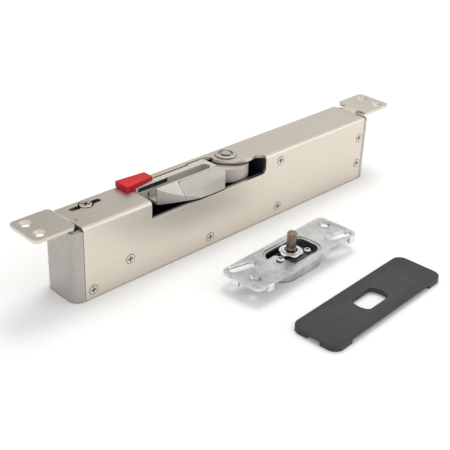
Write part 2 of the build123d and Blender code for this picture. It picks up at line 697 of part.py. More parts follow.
def spindle():
    """Stepped shaft: hexagons for the pinion and the arm, journals between, and a riveted top."""
    clip_top = CLIP_Z + CLIP_THICK
    seat = DISH_FLOOR + RUNNING
    rivet = rod_z(PIVOT_X, PIVOT_Y, seat, HEIGHT + TOP_FLANGE + RIVET, RIVET_RADIUS)
    pieces = [
        rod_z(PIVOT_X, PIVOT_Y, FLOOR + SPINDLE_END, GEAR_BOTTOM, JOURNAL_LOW),
        hex_z(PIVOT_X, PIVOT_Y, GEAR_BOTTOM, GEAR_TOP, HEX_PINION),
        rod_z(PIVOT_X, PIVOT_Y, GEAR_TOP, HUB_BOTTOM, JOURNAL_MIDDLE),
        hex_z(PIVOT_X, PIVOT_Y, HUB_BOTTOM, HUB_TOP, HEX_ARM),
        rod_z(PIVOT_X, PIVOT_Y, HUB_TOP, seat, JOURNAL_TOP),
        fillet(rivet.edges().group_by(Axis.Z)[-1], RIVET_ROUND),
    ]
    shaft = pieces[0]
    for piece in pieces[1:]:
        shaft += piece
    groove = rod_z(PIVOT_X, PIVOT_Y, CLIP_Z, clip_top, JOURNAL_LOW + 1)
    groove -= rod_z(PIVOT_X, PIVOT_Y, CLIP_Z, clip_top, JOURNAL_LOW - CLIP_GROOVE)
    return shaft - groove


def spindle_clip():
    """Open retaining ring in the spindle's groove."""
    ring = rod_z(PIVOT_X, PIVOT_Y, CLIP_Z, CLIP_Z + CLIP_THICK, JOURNAL_LOW + CLIP_RIM)
    ring -= rod_z(PIVOT_X, PIVOT_Y, 0, HEIGHT, JOURNAL_LOW - CLIP_GROOVE)
    half = CLIP_MOUTH / 2
    return ring - block(PIVOT_X - half, PIVOT_X + half, PIVOT_Y, HALF_WIDTH, 0, HEIGHT)


def arm_washers():
    """Two thin washers between the arm's hub and the sheet."""
    washers = []
    for index in range(2):
        bottom = HUB_TOP + index * (WASHER + RUNNING)
        ring = rod_z(PIVOT_X, PIVOT_Y, bottom, bottom + WASHER, WASHER_RADIUS)
        washers.append(ring - rod_z(PIVOT_X, PIVOT_Y, 0, HEIGHT, JOURNAL_TOP + RUNNING))
    return washers


def slope_height(y):
    """Height of the arm's straight slope, from the groove's edge down to the front."""
    fall = (HEIGHT - ARM_BOTTOM) / (GROOVE_NEAR - ARM_FRONT)
    return HEIGHT - (GROOVE_NEAR - y) * fall


def above_slope():
    """The space over the straight slope, left of the hood."""
    section = Polyline(
        (HOOD_SEAM, GROOVE_NEAR, HEIGHT),
        (HOOD_SEAM, ARM_FRONT, ARM_BOTTOM),
        (HOOD_SEAM, ARM_FRONT, HEIGHT),
        close=True,
    )
    return extrude(make_face(section), HOOD_SEAM - ARM_TIP, dir=(-1, 0, 0))


def near_rail():
    """Thin wall between the groove and the hood, sloped at its left and flat at its right."""
    faces = []
    for x, z in ((HOOD_SEAM, slope_height(HOOD_TOP_LINE)), (ARM_END, HEIGHT)):
        outline = Polyline(
            (x, GROOVE_NEAR, ARM_BOTTOM), (x, GROOVE_NEAR, HEIGHT),
            (x, HOOD_TOP_LINE, z), (x, HOOD_TOP_LINE, ARM_BOTTOM), close=True,
        )
        faces.append(make_face(outline))
    return loft(faces, ruled=True)


def hood_section(x, top, start, shoulder, finish):
    """Section of the hood at x, from its inner wall over a rounded shoulder to its front."""
    inner = HOOD_TOP_LINE - SEAM
    sides = [
        Polyline(
            (x, ARM_FRONT, ARM_BOTTOM), (x, inner, ARM_BOTTOM), (x, inner, top), (x, *start)
        ),
        Bezier((x, *start), (x, *shoulder), (x, *finish)),
        Line((x, *finish), (x, ARM_FRONT, ARM_BOTTOM)),
    ]
    return make_face([edge for side in sides for edge in side.edges()])


def hood_form():
    """The hood's outer form: a straight slope at its left, swelling to a block at its right."""
    inner = HOOD_TOP_LINE - SEAM
    across = inner - ARM_FRONT
    down = HEIGHT - ARM_BOTTOM
    whole = across + down
    places = []
    for run in (across - HOOD_ROUND, across, across + HOOD_ROUND):
        y = inner - across * run / whole
        places.append((y, slope_height(y)))
    left = hood_section(HOOD_SEAM + SEAM, slope_height(inner), *places)
    right = hood_section(
        ARM_END, HEIGHT, (ARM_FRONT + HOOD_ROUND, HEIGHT), (ARM_FRONT, HEIGHT),
        (ARM_FRONT, HEIGHT - HOOD_ROUND),
    )
    return loft([left, right], ruled=True)


def before_nose():
    """The space in front of the nose's wall, in plan."""
    outline = [*nose_wall().edges()]
    outline += Polyline(
        (NOSE_TIP, HOOD_TOP_LINE), (NOSE_TIP, -BEYOND), (NOSE_ROOT, -BEYOND),
        (NOSE_ROOT, ARM_FRONT),
    ).edges()
    return prism(outline, ARM_BOTTOM - 1, HEIGHT + 1)


def nose_wall():
    """Slightly bowed line of the nose's wall, in plan."""
    middle_x = (NOSE_TIP + NOSE_ROOT) / 2
    middle_y = (HOOD_TOP_LINE + ARM_FRONT) / 2 - NOSE_BOW
    return ThreePointArc((NOSE_ROOT, ARM_FRONT), (middle_x, middle_y), (NOSE_TIP, HOOD_TOP_LINE))


def past_corner():
    """What the arm's rounded corner leaves away, at its right-hand front."""
    x = ARM_END - HOOD_CORNER
    y = ARM_FRONT + HOOD_CORNER
    square = block(x, ARM_END + 1, ARM_FRONT - 1, y, ARM_BOTTOM - 1, HEIGHT + 1)
    return square - rod_z(x, y, ARM_BOTTOM - 1, HEIGHT + 1, HOOD_CORNER)


def arm_outline():
    """Plan of the arm's full height part."""
    rail_step = RAIL_FAR + CUT_STEP
    sides = [
        Line((NOSE_TIP, GROOVE_FAR), (ARM_TIP, GROOVE_FAR)),
        Line((ARM_TIP, GROOVE_FAR), (ARM_TIP, RAIL_FAR)),
        Line((ARM_TIP, RAIL_FAR), (CUT_STEP_X + SLIDING, RAIL_FAR)),
        Line((CUT_STEP_X + SLIDING, RAIL_FAR), (CUT_STEP_X + SLIDING, rail_step)),
        Line((CUT_STEP_X + SLIDING, rail_step), (ARM_END, rail_step)),
        Line((ARM_END, rail_step), (ARM_END, ARM_FRONT + HOOD_CORNER)),
        RadiusArc(
            (ARM_END, ARM_FRONT + HOOD_CORNER), (ARM_END - HOOD_CORNER, ARM_FRONT), HOOD_CORNER
        ),
        Line((ARM_END - HOOD_CORNER, ARM_FRONT), (NOSE_ROOT, ARM_FRONT)),
        nose_wall(),
        Line((NOSE_TIP, HOOD_TOP_LINE), (NOSE_TIP, GROOVE_FAR)),
    ]
    return [edge for side in sides for edge in side.edges()]


def arm_hub():
    """Round hub, large towards the front and small at the back where the wall is close."""
    small = rod_z(PIVOT_X, PIVOT_Y, HUB_BOTTOM, HUB_TOP, HUB_BACK_RADIUS)
    slice_face = sector_face(HUB_RADIUS, HUB_START - HUB_ARC, HUB_START)
    large = Pos(PIVOT_X, PIVOT_Y, HUB_BOTTOM) * extrude(slice_face, HUB_TOP - HUB_BOTTOM)
    bridge = block(
        ARM_END - 1, PIVOT_X - HUB_BACK_RADIUS / 2, PIVOT_Y - HUB_BRIDGE, RAIL_FAR,
        ARM_BOTTOM, HUB_TOP,
    )
    return small + large + bridge


def hood_room():
    """The space for the hood, right of its seam and in front of the groove's edge."""
    return block(
        HOOD_SEAM, ARM_END + 1, ARM_FRONT - 1, GROOVE_NEAR, ARM_BOTTOM - 1, HEIGHT + 1
    )


def hood_seat(grow):
    """The arm's floor under the hood, inside the hood's skirt."""
    return block(
        HOOD_SEAM + HOOD_WALL - grow, ARM_END + 1, ARM_FRONT + HOOD_WALL - grow,
        HOOD_TOP_LINE + 1, ARM_BOTTOM - 1, GROOVE_FLOOR,
    )


def hood_screw_tool(clearance):
    """Both screws that hold the hood from below, fattened by a clearance."""
    depth = HOOD_SCREW_HEAD - HOOD_SCREW_SHANK
    shank = HOOD_SCREW_SHANK + clearance
    tools = []
    for x, y in HOOD_SCREWS:
        head = Pos(x, y, ARM_BOTTOM + depth / 2) * Cone(HOOD_SCREW_HEAD + clearance, shank, depth)
        tools.append(head + rod_z(x, y, ARM_BOTTOM, ARM_BOTTOM + HOOD_SCREW_LENGTH, shank))
    return tools


def arm_casting():
    """The arm: hub, both rails of the pin's groove, its floor and the nose."""
    body = prism(arm_outline(), ARM_BOTTOM, HEIGHT) - above_slope()
    body -= hood_room() - hood_seat(0)
    body += near_rail()
    length = GROOVE_END - ARM_TIP + GROOVE_WIDTH
    groove = Pos(GROOVE_END - length / 2, GROOVE_CENTRE, 0) * slot_prism(
        length, GROOVE_WIDTH, GROOVE_FLOOR, HEIGHT + 1
    )
    body -= groove
    body -= block(
        BUFFER_LEFT, BUFFER_RIGHT, GROOVE_CENTRE, GROOVE_FAR + BUFFER_DEPTH,
        HEIGHT - BUFFER_DROP - BUFFER_HEIGHT, HEIGHT - BUFFER_DROP,
    )
    body -= block(
        NOSE_TIP - MARK_WIDTH / 2, NOSE_TIP + MARK_WIDTH / 2, GROOVE_CENTRE,
        GROOVE_FAR + MARK_DEPTH, GROOVE_FLOOR + MARK_LOW, GROOVE_FLOOR + MARK_HIGH,
    )
    body += arm_hub()
    body -= hex_z(PIVOT_X, PIVOT_Y, 0, HEIGHT, HEX_ARM)
    for tool in hood_screw_tool(RUNNING):
        body -= tool
    return body


def arm_hood():
    """Separate cap on the arm's near side, with the swelling slope."""
    body = hood_form() - before_nose() - past_corner() - hood_seat(SEAM)
    for tool in hood_screw_tool(RUNNING):
        body -= tool
    return body


def hood_screws():
    half = HOOD_SCREW_SLOT / 2
    screws = []
    for (x, y), tool in zip(HOOD_SCREWS, hood_screw_tool(0)):
        slot = block(
            x - HOOD_SCREW_HEAD, x + HOOD_SCREW_HEAD, y - half, y + half,
            ARM_BOTTOM - 1, ARM_BOTTOM + HOOD_SCREW_SLOT,
        )
        screws.append(tool - slot)
    return screws


def buffer_strip():
    """Rubber strip that the striker's pin lands on."""
    return block(
        BUFFER_LEFT, BUFFER_RIGHT, GROOVE_FAR + RUNNING, GROOVE_FAR + BUFFER_DEPTH,
        HEIGHT - BUFFER_DROP - BUFFER_HEIGHT, HEIGHT - BUFFER_DROP,
    )


def involute_turn(radius, base):
    """How far an involute has turned from its base circle at a radius, in radians."""
    roll = sqrt(max((radius / base) ** 2 - 1, 0))
    return roll - atan(roll)


def tooth_face():
    """One tooth of the pinion, pointing along +X, with its foot sunk under the root."""
    base = PITCH_RADIUS * cos(radians(PRESSURE_ANGLE))
    tip = PITCH_RADIUS + MODULE
    half = (pi * MODULE - BACKLASH) / 4 / PITCH_RADIUS + involute_turn(PITCH_RADIUS, base)
    far = []
    for step in range(FLANK_STEPS + 1):
        radius = base + (tip - base) * step / FLANK_STEPS
        angle = half - involute_turn(radius, base)
        far.append((radius * cos(angle), radius * sin(angle)))
    near = [(x, -y) for x, y in far]
    foot = SECTOR_HUB * cos(half)
    sides = [
        Spline(*far),
        ThreePointArc(far[-1], (tip, 0), near[-1]),
        Spline(*reversed(near)),
        Polyline(near[0], (foot, near[0][1]), (foot, far[0][1]), far[0]),
    ]
    return make_face([edge for side in sides for edge in side.edges()])


def pinion_sector():
    """Part of a gear on the spindle's lower hexagon, which moves the rack."""
    pitch = 360 / TEETH
    first = -90 + pitch
    last = first - pitch * (SECTOR_TEETH - 1)
    margin = SECTOR_MARGIN * pitch
    face = Circle(SECTOR_HUB) + sector_face(ROOT_RADIUS, last - margin, first + margin)
    for index in range(SECTOR_TEETH):
        face += Rot(0, 0, first - pitch * index) * tooth_face()
    gear = Pos(PIVOT_X, PIVOT_Y, GEAR_BOTTOM) * extrude(face, GEAR_TOP - GEAR_BOTTOM)
    return gear - hex_z(PIVOT_X, PIVOT_Y, 0, HEIGHT, HEX_PINION)


def rack_carriage():
    """Rack with a plate at each end: one pulls the damper's rod, the spring pushes the other."""
    root = RACK_LINE - DEDENDUM
    carriage = block(
        CARRIAGE_LEFT, CARRIAGE_RIGHT, -CARRIAGE_HALF, root, GEAR_BOTTOM, GEAR_TOP
    )
    carriage += block(
        CARRIAGE_LEFT, CARRIAGE_LEFT + CARRIAGE_PLATE, -CARRIAGE_HALF, LEFT_PLATE_FAR,
        CARRIAGE_BOTTOM, CARRIAGE_TOP,
    )
    carriage += block(
        CARRIAGE_RIGHT - CARRIAGE_PLATE, CARRIAGE_RIGHT, -CARRIAGE_HALF, CARRIAGE_HALF,
        CARRIAGE_BOTTOM, CARRIAGE_TOP,
    )
    carriage += rod_x(
        CARRIAGE_RIGHT, CARRIAGE_RIGHT + SPRING_PILOT, 0, AXIS_Z,
        SPRING_RADIUS - WIRE_RADIUS - SLIDING,
    )
    pitch = pi * MODULE
    half = (pitch - BACKLASH) / 4
    slope = tan(radians(PRESSURE_ANGLE))
    for index in range(-RACK_TEETH_LEFT, RACK_TEETH_RIGHT):
        x = PIVOT_X + (index + 0.5) * pitch
        foot = half + DEDENDUM * slope
        tip = half - MODULE * slope
        tooth = Polyline(
            (x - foot, root), (x - tip, RACK_LINE + MODULE),
            (x + tip, RACK_LINE + MODULE), (x + foot, root), close=True,
        )
        carriage += prism(tooth, GEAR_BOTTOM, GEAR_TOP)
    return carriage - rod_x(
        CARRIAGE_LEFT - 1, CARRIAGE_LEFT + CARRIAGE_PLATE + 1, 0, AXIS_Z, ROD_RADIUS + RUNNING
    )


def damper_rod():
    return rod_x(PISTON_LEFT, CARRIAGE_LEFT + CARRIAGE_PLATE, 0, AXIS_Z, ROD_RADIUS)


def rod_nut():
    """Nut that draws the rod into the carriage's left plate."""
    nut = extrude(RegularPolygon(ROD_NUT, 6, major_radius=False), ROD_NUT_LENGTH)
    nut = Pos(CARRIAGE_LEFT - ROD_NUT_LENGTH, 0, AXIS_Z) * Rot(0, 90, 0) * nut
    return nut - rod_x(CARRIAGE_LEFT - 10, CARRIAGE_LEFT, 0, AXIS_Z, ROD_RADIUS + RUNNING)


def damper_piston():
    right = PISTON_LEFT + PISTON_LENGTH
    middle = (PISTON_LEFT + right) / 2
    body = rod_x(PISTON_LEFT, right, 0, AXIS_Z, PISTON_RADIUS)
    groove = rod_x(
        middle - PISTON_GROOVE / 2, middle + PISTON_GROOVE / 2, 0, AXIS_Z, PISTON_RADIUS + 1
    )
    groove -= rod_x(PISTON_LEFT, right, 0, AXIS_Z, PISTON_RADIUS - PISTON_GROOVE_DEPTH)
    return body - groove - rod_x(PISTON_LEFT, right, 0, AXIS_Z, ROD_RADIUS + RUNNING)


def piston_ring():
    """Ring in the piston's groove that runs in the tube."""
    left = PISTON_LEFT + (PISTON_LENGTH - PISTON_GROOVE) / 2
    right = left + PISTON_GROOVE
    ring = rod_x(left, right, 0, AXIS_Z, TUBE_INSIDE - RUNNING)
    inside = PISTON_RADIUS - PISTON_GROOVE_DEPTH + RUNNING
    return ring - rod_x(left, right, 0, AXIS_Z, inside)


def damper_cylinder():
    tube = rod_x(TUBE_LEFT, TUBE_RIGHT, 0, AXIS_Z, TUBE_RADIUS)
    return tube - rod_x(TUBE_LEFT, TUBE_RIGHT, 0, AXIS_Z, TUBE_INSIDE)


def damper_gland():
    """End cap that guides the rod, with a pocket for its seal."""
    cap = rod_x(TUBE_RIGHT, TUBE_RIGHT + GLAND_LENGTH, 0, AXIS_Z, TUBE_RADIUS)
    cap += rod_x(TUBE_RIGHT - SPIGOT, TUBE_RIGHT, 0, AXIS_Z, TUBE_INSIDE - RUNNING)
    left = TUBE_RIGHT - SPIGOT
    cap -= rod_x(left, TUBE_RIGHT + GLAND_LENGTH, 0, AXIS_Z, ROD_RADIUS + RUNNING)
    return cap - rod_x(left, left + SEAL_LENGTH, 0, AXIS_Z, ROD_RADIUS + SEAL_THICK)


def rod_seal():
    left = TUBE_RIGHT - SPIGOT
    ring = rod_x(left, left + SEAL_LENGTH, 0, AXIS_Z, ROD_RADIUS + SEAL_THICK)
    return ring - rod_x(left, left + SEAL_LENGTH, 0, AXIS_Z, ROD_RADIUS + RUNNING)


def valve_block():
    """Closed end of the damper, with the bore that the adjuster's needle throttles."""
    body = block(
        -FRAME_HALF, TUBE_LEFT, -FRAME_INSIDE, FRAME_INSIDE, FLOOR, AXIS_Z + TUBE_RADIUS
    )
    body += rod_x(TUBE_LEFT, TUBE_LEFT + SPIGOT, 0, AXIS_Z, TUBE_INSIDE - RUNNING)
    needle = rod_z(ADJUSTER_X, ADJUSTER_Y, NEEDLE_BOTTOM, HEIGHT, ADJUSTER_SHANK + RUNNING)
    return body - needle


def damper_saddles():
    """Two cradles on the floor, under the damper's tube."""
    saddles = []
    for left in (TUBE_LEFT + SADDLE_INSET, TUBE_RIGHT - SADDLE_INSET - SADDLE_LENGTH):
        right = left + SADDLE_LENGTH
        cradle = block(left, right, -FRAME_INSIDE, FRAME_INSIDE, FLOOR, AXIS_Z - SADDLE_DROP)
        saddles.append(cradle - rod_x(left, right, 0, AXIS_Z, TUBE_RADIUS + RUNNING))
    return saddles


def spring_anchor():
    """Fixed block that the closing spring pushes against."""
    body = block(
        SPRING_RIGHT, FRAME_HALF, -FRAME_INSIDE, FRAME_INSIDE, FLOOR, AXIS_Z + TUBE_RADIUS
    )
    return body - rod_x(SPRING_RIGHT, SPRING_RIGHT + GUIDE_SEAT, 0, AXIS_Z, GUIDE_RADIUS)


def spring_guide_rod():
    rod = rod_x(GUIDE_LEFT, SPRING_RIGHT + GUIDE_SEAT, 0, AXIS_Z, GUIDE_RADIUS)
    return chamfer(rod.edges().group_by(Axis.X)[0], GUIDE_CHAMFER)


def closing_spring():
    """Compression spring between the carriage and its anchor."""
    length = SPRING_RIGHT - CARRIAGE_RIGHT - 2 * WIRE_RADIUS
    path = Helix(
        length / SPRING_TURNS, length, SPRING_RADIUS,
        center=(CARRIAGE_RIGHT + WIRE_RADIUS, 0, AXIS_Z), direction=(1, 0, 0),
    )
    section = Plane(origin=path @ 0, z_dir=path % 0) * Circle(WIRE_RADIUS)
    return sweep(section, path=path, is_frenet=True)


def adjuster_screw():
    """Speed adjuster: domed head in the slot's eye, long shank and needle."""
    head_bottom = UNDER_SHEET - SLOT_DEPTH + SLIDING
    top = HEIGHT + ADJUSTER_DOME
    head = rod_z(ADJUSTER_X, ADJUSTER_Y, head_bottom, top, ADJUSTER_HEAD)
    head = fillet(head.edges().group_by(Axis.Z)[-1], ADJUSTER_DOME * 1.5)
    shank = rod_z(
        ADJUSTER_X, ADJUSTER_Y, NEEDLE_BOTTOM + NEEDLE_LENGTH, head_bottom, ADJUSTER_SHANK
    )
    needle = Pos(ADJUSTER_X, ADJUSTER_Y, NEEDLE_BOTTOM + NEEDLE_LENGTH / 2) * Cone(
        ADJUSTER_SHANK / 4, ADJUSTER_SHANK, NEEDLE_LENGTH
    )
    recess = Pos(ADJUSTER_X, ADJUSTER_Y, top) * Rot(0, 0, 45) * cross_recess(
        RECESS_REACH * ADJUSTER_HEAD, RECESS_DEPTH + ADJUSTER_DOME
    )
    return head + shank + needle - recess


def transport_clip():
    """Loose wedge over the arm's tip, with a tongue that drops into the gap at its end."""
    bottom = HEIGHT + RUNNING
    top = HEIGHT + TRANSPORT_HEIGHT
    outline = Polyline(
        (TRANSPORT_LEFT, TRANSPORT_NEAR),
        (TRANSPORT_RIGHT, TRANSPORT_NEAR_RIGHT),
        (TRANSPORT_RIGHT, HALF_WIDTH),
        (TRANSPORT_LEFT, HALF_WIDTH),
        close=True,
    )
    plate = prism(outline, bottom, top)
    plate = fillet(edges_where(plate, Axis.Z, lambda c: True), TRANSPORT_CORNER)
    above = Polyline(
        (TRANSPORT_LEFT, top),
        (TRANSPORT_RIGHT, top),
        (TRANSPORT_RIGHT, HEIGHT + TRANSPORT_HEIGHT_RIGHT),
        close=True,
    )
    plate -= extrude(Plane.XZ * make_face(above), WIDTH, both=True)
    plate = fillet(plate.faces().sort_by(Axis.Z)[-1].edges(), TRANSPORT_ROUND)
    middle = (CUT_LEFT + ARM_TIP) / 2
    left = middle - TONGUE_THICK / 2
    tongue = block(
        left, left + TONGUE_THICK, TRANSPORT_NEAR + SLIDING, CUT_FAR - SLIDING,
        HEIGHT - TONGUE_LENGTH, HEIGHT + TRANSPORT_HEIGHT / 2,
    )
    rail_room = block(
        left + TONGUE_THICK, TRANSPORT_RIGHT + 1, TRANSPORT_NEAR - 1, CUT_FAR + SLIDING,
        HEIGHT, HEIGHT + SLIDING,
    )
    return plate + tongue - rail_room


def tapered_slot(length, width, z0, z1):
    """A slot shape that widens by the cup's draft on its way up."""
    low = Pos(0, 0, z0) * SlotOverall(length - 2 * CUP_DRAFT, width - 2 * CUP_DRAFT)
    high = Pos(0, 0, z1) * SlotOverall(length, width)
    return loft([low, high])


def window_tool(grow, z0, z1):
    """The striker plate's window, widened by grow, without the part that the tongue covers."""
    length = WINDOW_LENGTH + 2 * grow
    width = WINDOW_WIDTH + 2 * grow
    tool = rounded_plate(length, width, WINDOW_CORNER + grow, z0, z1)
    tongue = block(-length, TONGUE_END - grow, -width, TONGUE_FAR - grow, z0, z1)
    tip = edges_where(tongue, Axis.Z, lambda c: c.X > -length / 2 and c.Y > -width / 2)
    return tool - fillet(tip, TONGUE_CORNER)


def striker_slot():
    """A slot through the plate with a countersunk rim."""
    rim = STRIKER_SLOT_SINK - STRIKER_SLOT_RADIUS
    slot = slot_prism(
        STRIKER_SLOT_LENGTH, 2 * STRIKER_SLOT_RADIUS, STRIKER_UNDER - 1, STRIKER_TOP + 1
    )
    low = Pos(0, 0, STRIKER_TOP - rim) * SlotOverall(STRIKER_SLOT_LENGTH, 2 * STRIKER_SLOT_RADIUS)
    high = Pos(0, 0, STRIKER_TOP) * SlotOverall(
        STRIKER_SLOT_LENGTH + 2 * rim, 2 * STRIKER_SLOT_SINK
    )
    return Rot(0, 0, STRIKER_SLOT_TURN) * (slot + loft([low, high]))


def striker_lugs():
    """Short lugs that hang from the plate's edge and keep it off the cover."""
    bottom = STRIKER_UNDER - LUG_DROP
    half = LUG_LENGTH / 2
    lugs = []
    for side, y in LUGS_AT_ENDS:
        outer = side * (STRIKER_END + LUG_STEP)
        inner = outer - side * LUG_THICK
        lugs.append(
            block(min(outer, inner), max(outer, inner), y - half, y + half, bottom, STRIKER_TOP)
        )
    for x, side in LUGS_AT_SIDES:
        outer = side * (STRIKER_SIDE + LUG_STEP)
        inner = outer - side * LUG_THICK
        lugs.append(
            block(x - half, x + half, min(outer, inner), max(outer, inner), bottom, STRIKER_TOP)
        )
    return [chamfer(lug.edges().group_by(Axis.Z)[-1], LUG_STEP) for lug in lugs]


def striker_plate():
    """Cast plate with a cup under it, made to be let into the other member."""
    body = rounded_plate(
        STRIKER_LENGTH, STRIKER_WIDTH, STRIKER_CORNER, STRIKER_UNDER, STRIKER_TOP
    )
    for lug in striker_lugs():
        body += lug
    body += tapered_slot(CUP_LENGTH, CUP_WIDTH, 0, STRIKER_UNDER)
    body -= tapered_slot(
        CUP_LENGTH - 2 * CUP_WALL, CUP_WIDTH - 2 * CUP_WALL, CUP_WALL, STRIKER_UNDER
    )
    body -= window_tool(0, STRIKER_UNDER, STRIKER_TOP + 1)
    body -= window_tool(LEDGE, STRIKER_TOP - LEDGE_DEPTH, STRIKER_TOP + 1)
    for x, y in STRIKER_SLOTS:
        body -= Pos(x, y, 0) * striker_slot()
    for x, y in STRIKER_HOLES:
        body -= rod_z(x, y, STRIKER_UNDER - 1, STRIKER_TOP + 1, STRIKER_HOLE_RADIUS)
        body -= sink_z(x, y, STRIKER_TOP, STRIKER_SINK_RADIUS, STRIKER_HOLE_RADIUS)
    clamp = CLAMP_SHANK + SLIDING
    body -= Pos(*CLAMP_LEFT, 0) * slot_prism(
        2 * (PIN_TRAVEL + clamp), 2 * clamp, STRIKER_UNDER - 1, STRIKER_TOP + 1
    )
    return STRIKER_PLACE * body


def striker_slider():
    """Block in the cup that carries the pin and can be set along the plate."""
    body = rounded_plate(
        SLIDER_LENGTH, SLIDER_WIDTH, SLIDER_CORNER, SLIDER_BOTTOM, SLIDER_TOP
    )
    body = chamfer(body.edges().group_by(Axis.Z)[-1], SLIDER_EDGE)
    body -= rod_z(PIN_X, PIN_Y, SLIDER_TOP - PIN_SINK, SLIDER_TOP + 1, PIN_THREAD)
    for x, y in (CLAMP_LEFT, CLAMP_RIGHT):
        body -= rod_z(x, y, SLIDER_TOP - CLAMP_LENGTH, SLIDER_TOP + 1, CLAMP_SHANK)
    return STRIKER_PLACE * body


def striker_pin():
    """Round pin that runs in the arm's groove."""
    shoulder = NUT_TOP + NUT_FACE + PIN_SHOULDER
    pin = rod_z(PIN_X, PIN_Y, shoulder, PIN_TOP, PIN_RADIUS)
    pin = chamfer(pin.edges().group_by(Axis.Z)[-1], PIN_CHAMFER)
    return STRIKER_PLACE * (
        pin + rod_z(PIN_X, PIN_Y, SLIDER_TOP - PIN_SINK, shoulder, PIN_THREAD)
    )


def striker_nut():
    """Hexagon nut with a raised ring and a dish around the pin."""
    nut = hex_z(PIN_X, PIN_Y, SLIDER_TOP, NUT_TOP, NUT_FLAT)
    turned = rod_z(PIN_X, PIN_Y, SLIDER_TOP, NUT_TOP, NUT_CORNER)
    nut &= chamfer(turned.edges().group_by(Axis.Z)[-1], NUT_CHAMFER)
    face = NUT_TOP + NUT_FACE
    nut += rod_z(PIN_X, PIN_Y, NUT_TOP, face, NUT_FACE_RADIUS)
    nut -= rod_z(PIN_X, PIN_Y, face - NUT_DISH, face, NUT_DISH_RADIUS)
    return STRIKER_PLACE * (nut - rod_z(PIN_X, PIN_Y, 0, HEIGHT, PIN_THREAD + RUNNING))


def clamp_screws():
    """Cross-headed screws that lock the slider, one of them through the plate's tongue."""
    screws = []
    for (x, y), seat in ((CLAMP_LEFT, STRIKER_TOP), (CLAMP_RIGHT, SLIDER_TOP)):
        top = seat + CLAMP_HEAD_HEIGHT
        head = rod_z(x, y, seat, top, CLAMP_HEAD)
        head = fillet(head.edges().group_by(Axis.Z)[-1], CLAMP_HEAD_HEIGHT / 2)
        shank = rod_z(x, y, SLIDER_TOP - CLAMP_LENGTH, seat, CLAMP_SHANK)
        recess = Pos(x, y, top) * cross_recess(RECESS_REACH * CLAMP_HEAD, RECESS_DEPTH)
        screws.append(STRIKER_PLACE * (head + shank - recess))
    return screws


def cover_window(grow, z0, z1):
    """The cover's window: two round ends cut off by two straight sides, with soft corners."""
    half = COVER_HOLE_WIDTH / 2 + grow
    tool = rod_z(0, 0, z0, z1, COVER_HOLE_LENGTH / 2 + grow)
    tool &= block(-COVER_LENGTH, COVER_LENGTH, -half, half, z0, z1)
    return fillet(edges_where(tool, Axis.Z, lambda c: True), COVER_HOLE_CORNER)


def striker_cover():
    """Thin dark cover with a skirt around each end and a collared window for the pin."""
    under = COVER_HEIGHT - COVER_PLATE
    body = rounded_plate(COVER_LENGTH, COVER_WIDTH, COVER_CORNER, 0, COVER_HEIGHT)
    body = fillet(body.edges().group_by(Axis.Z)[-1], COVER_EDGE)
    hollow = rounded_plate(
        COVER_LENGTH - 2 * COVER_SKIRT, COVER_WIDTH - 2 * COVER_SKIRT,
        COVER_CORNER - COVER_SKIRT, -1, under,
    )
    inner = COVER_LENGTH / 2 - COVER_SKIRT_LENGTH
    hollow += block(-inner, inner, -COVER_WIDTH, COVER_WIDTH, -1, under)
    hollow += block(
        -COVER_LENGTH, -inner, -COVER_NOTCH / 2, COVER_NOTCH / 2, -1, under
    )
    body -= hollow
    body += cover_window(COVER_COLLAR, COVER_COLLAR_BOTTOM, under)
    return COVER_PLACE * (body - cover_window(0, -1, COVER_HEIGHT + 1))


NODES = {
    "cover_channel": cover_channel,
    "inner_frame": inner_frame,
    "end_block_left": lambda: end_block(-1),
    "end_block_right": lambda: end_block(1),
    "pocket_liner": pocket_liner,
    "bearing_plate": bearing_plate,
    "adjuster_block": adjuster_block,
    "spacer_block": spacer_block,
    "front_screws": lambda: side_screws(-1),
    "rear_screws": lambda: side_screws(1),
    "top_bush": top_bush,
    "middle_bush": middle_bush,
    "lower_bush": low_bush,
    "damper_cylinder": damper_cylinder,
    "damper_gland": damper_gland,
    "rod_seal": rod_seal,
    "valve_block": valve_block,
    "damper_saddles": damper_saddles,
    "spring_anchor": spring_anchor,
    "spring_guide_rod": spring_guide_rod,
    "closing_spring": closing_spring,
    "arm_casting": arm_casting,
    "arm_hood": arm_hood,
    "hood_screws": hood_screws,
    "buffer_strip": buffer_strip,
    "spindle": spindle,
    "spindle_clip": spindle_clip,
    "pinion_sector": pinion_sector,
    "arm_washers": arm_washers,
    "rack_carriage": rack_carriage,
    "damper_rod": damper_rod,
    "rod_nut": rod_nut,
    "damper_piston": damper_piston,
    "piston_ring": piston_ring,
    "adjuster_screw": adjuster_screw,
    "transport_clip": transport_clip,
    "striker_plate": striker_plate,
    "striker_slider": striker_slider,
    "striker_pin": striker_pin,
    "striker_nut": striker_nut,
    "clamp_screws": clamp_screws,
    "striker_cover": striker_cover,
}

os.makedirs("parts", exist_ok=True)
for name, make in NODES.items():
    shape = make()
    if isinstance(shape, list):
        solids = [solid for piece in shape for solid in piece.solids()]
        shape = Compound(children=solids)
    export_step(shape, f"parts/{name}.step")
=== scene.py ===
import json
import math

import bmesh
import bpy
from mathutils import Matrix, Vector

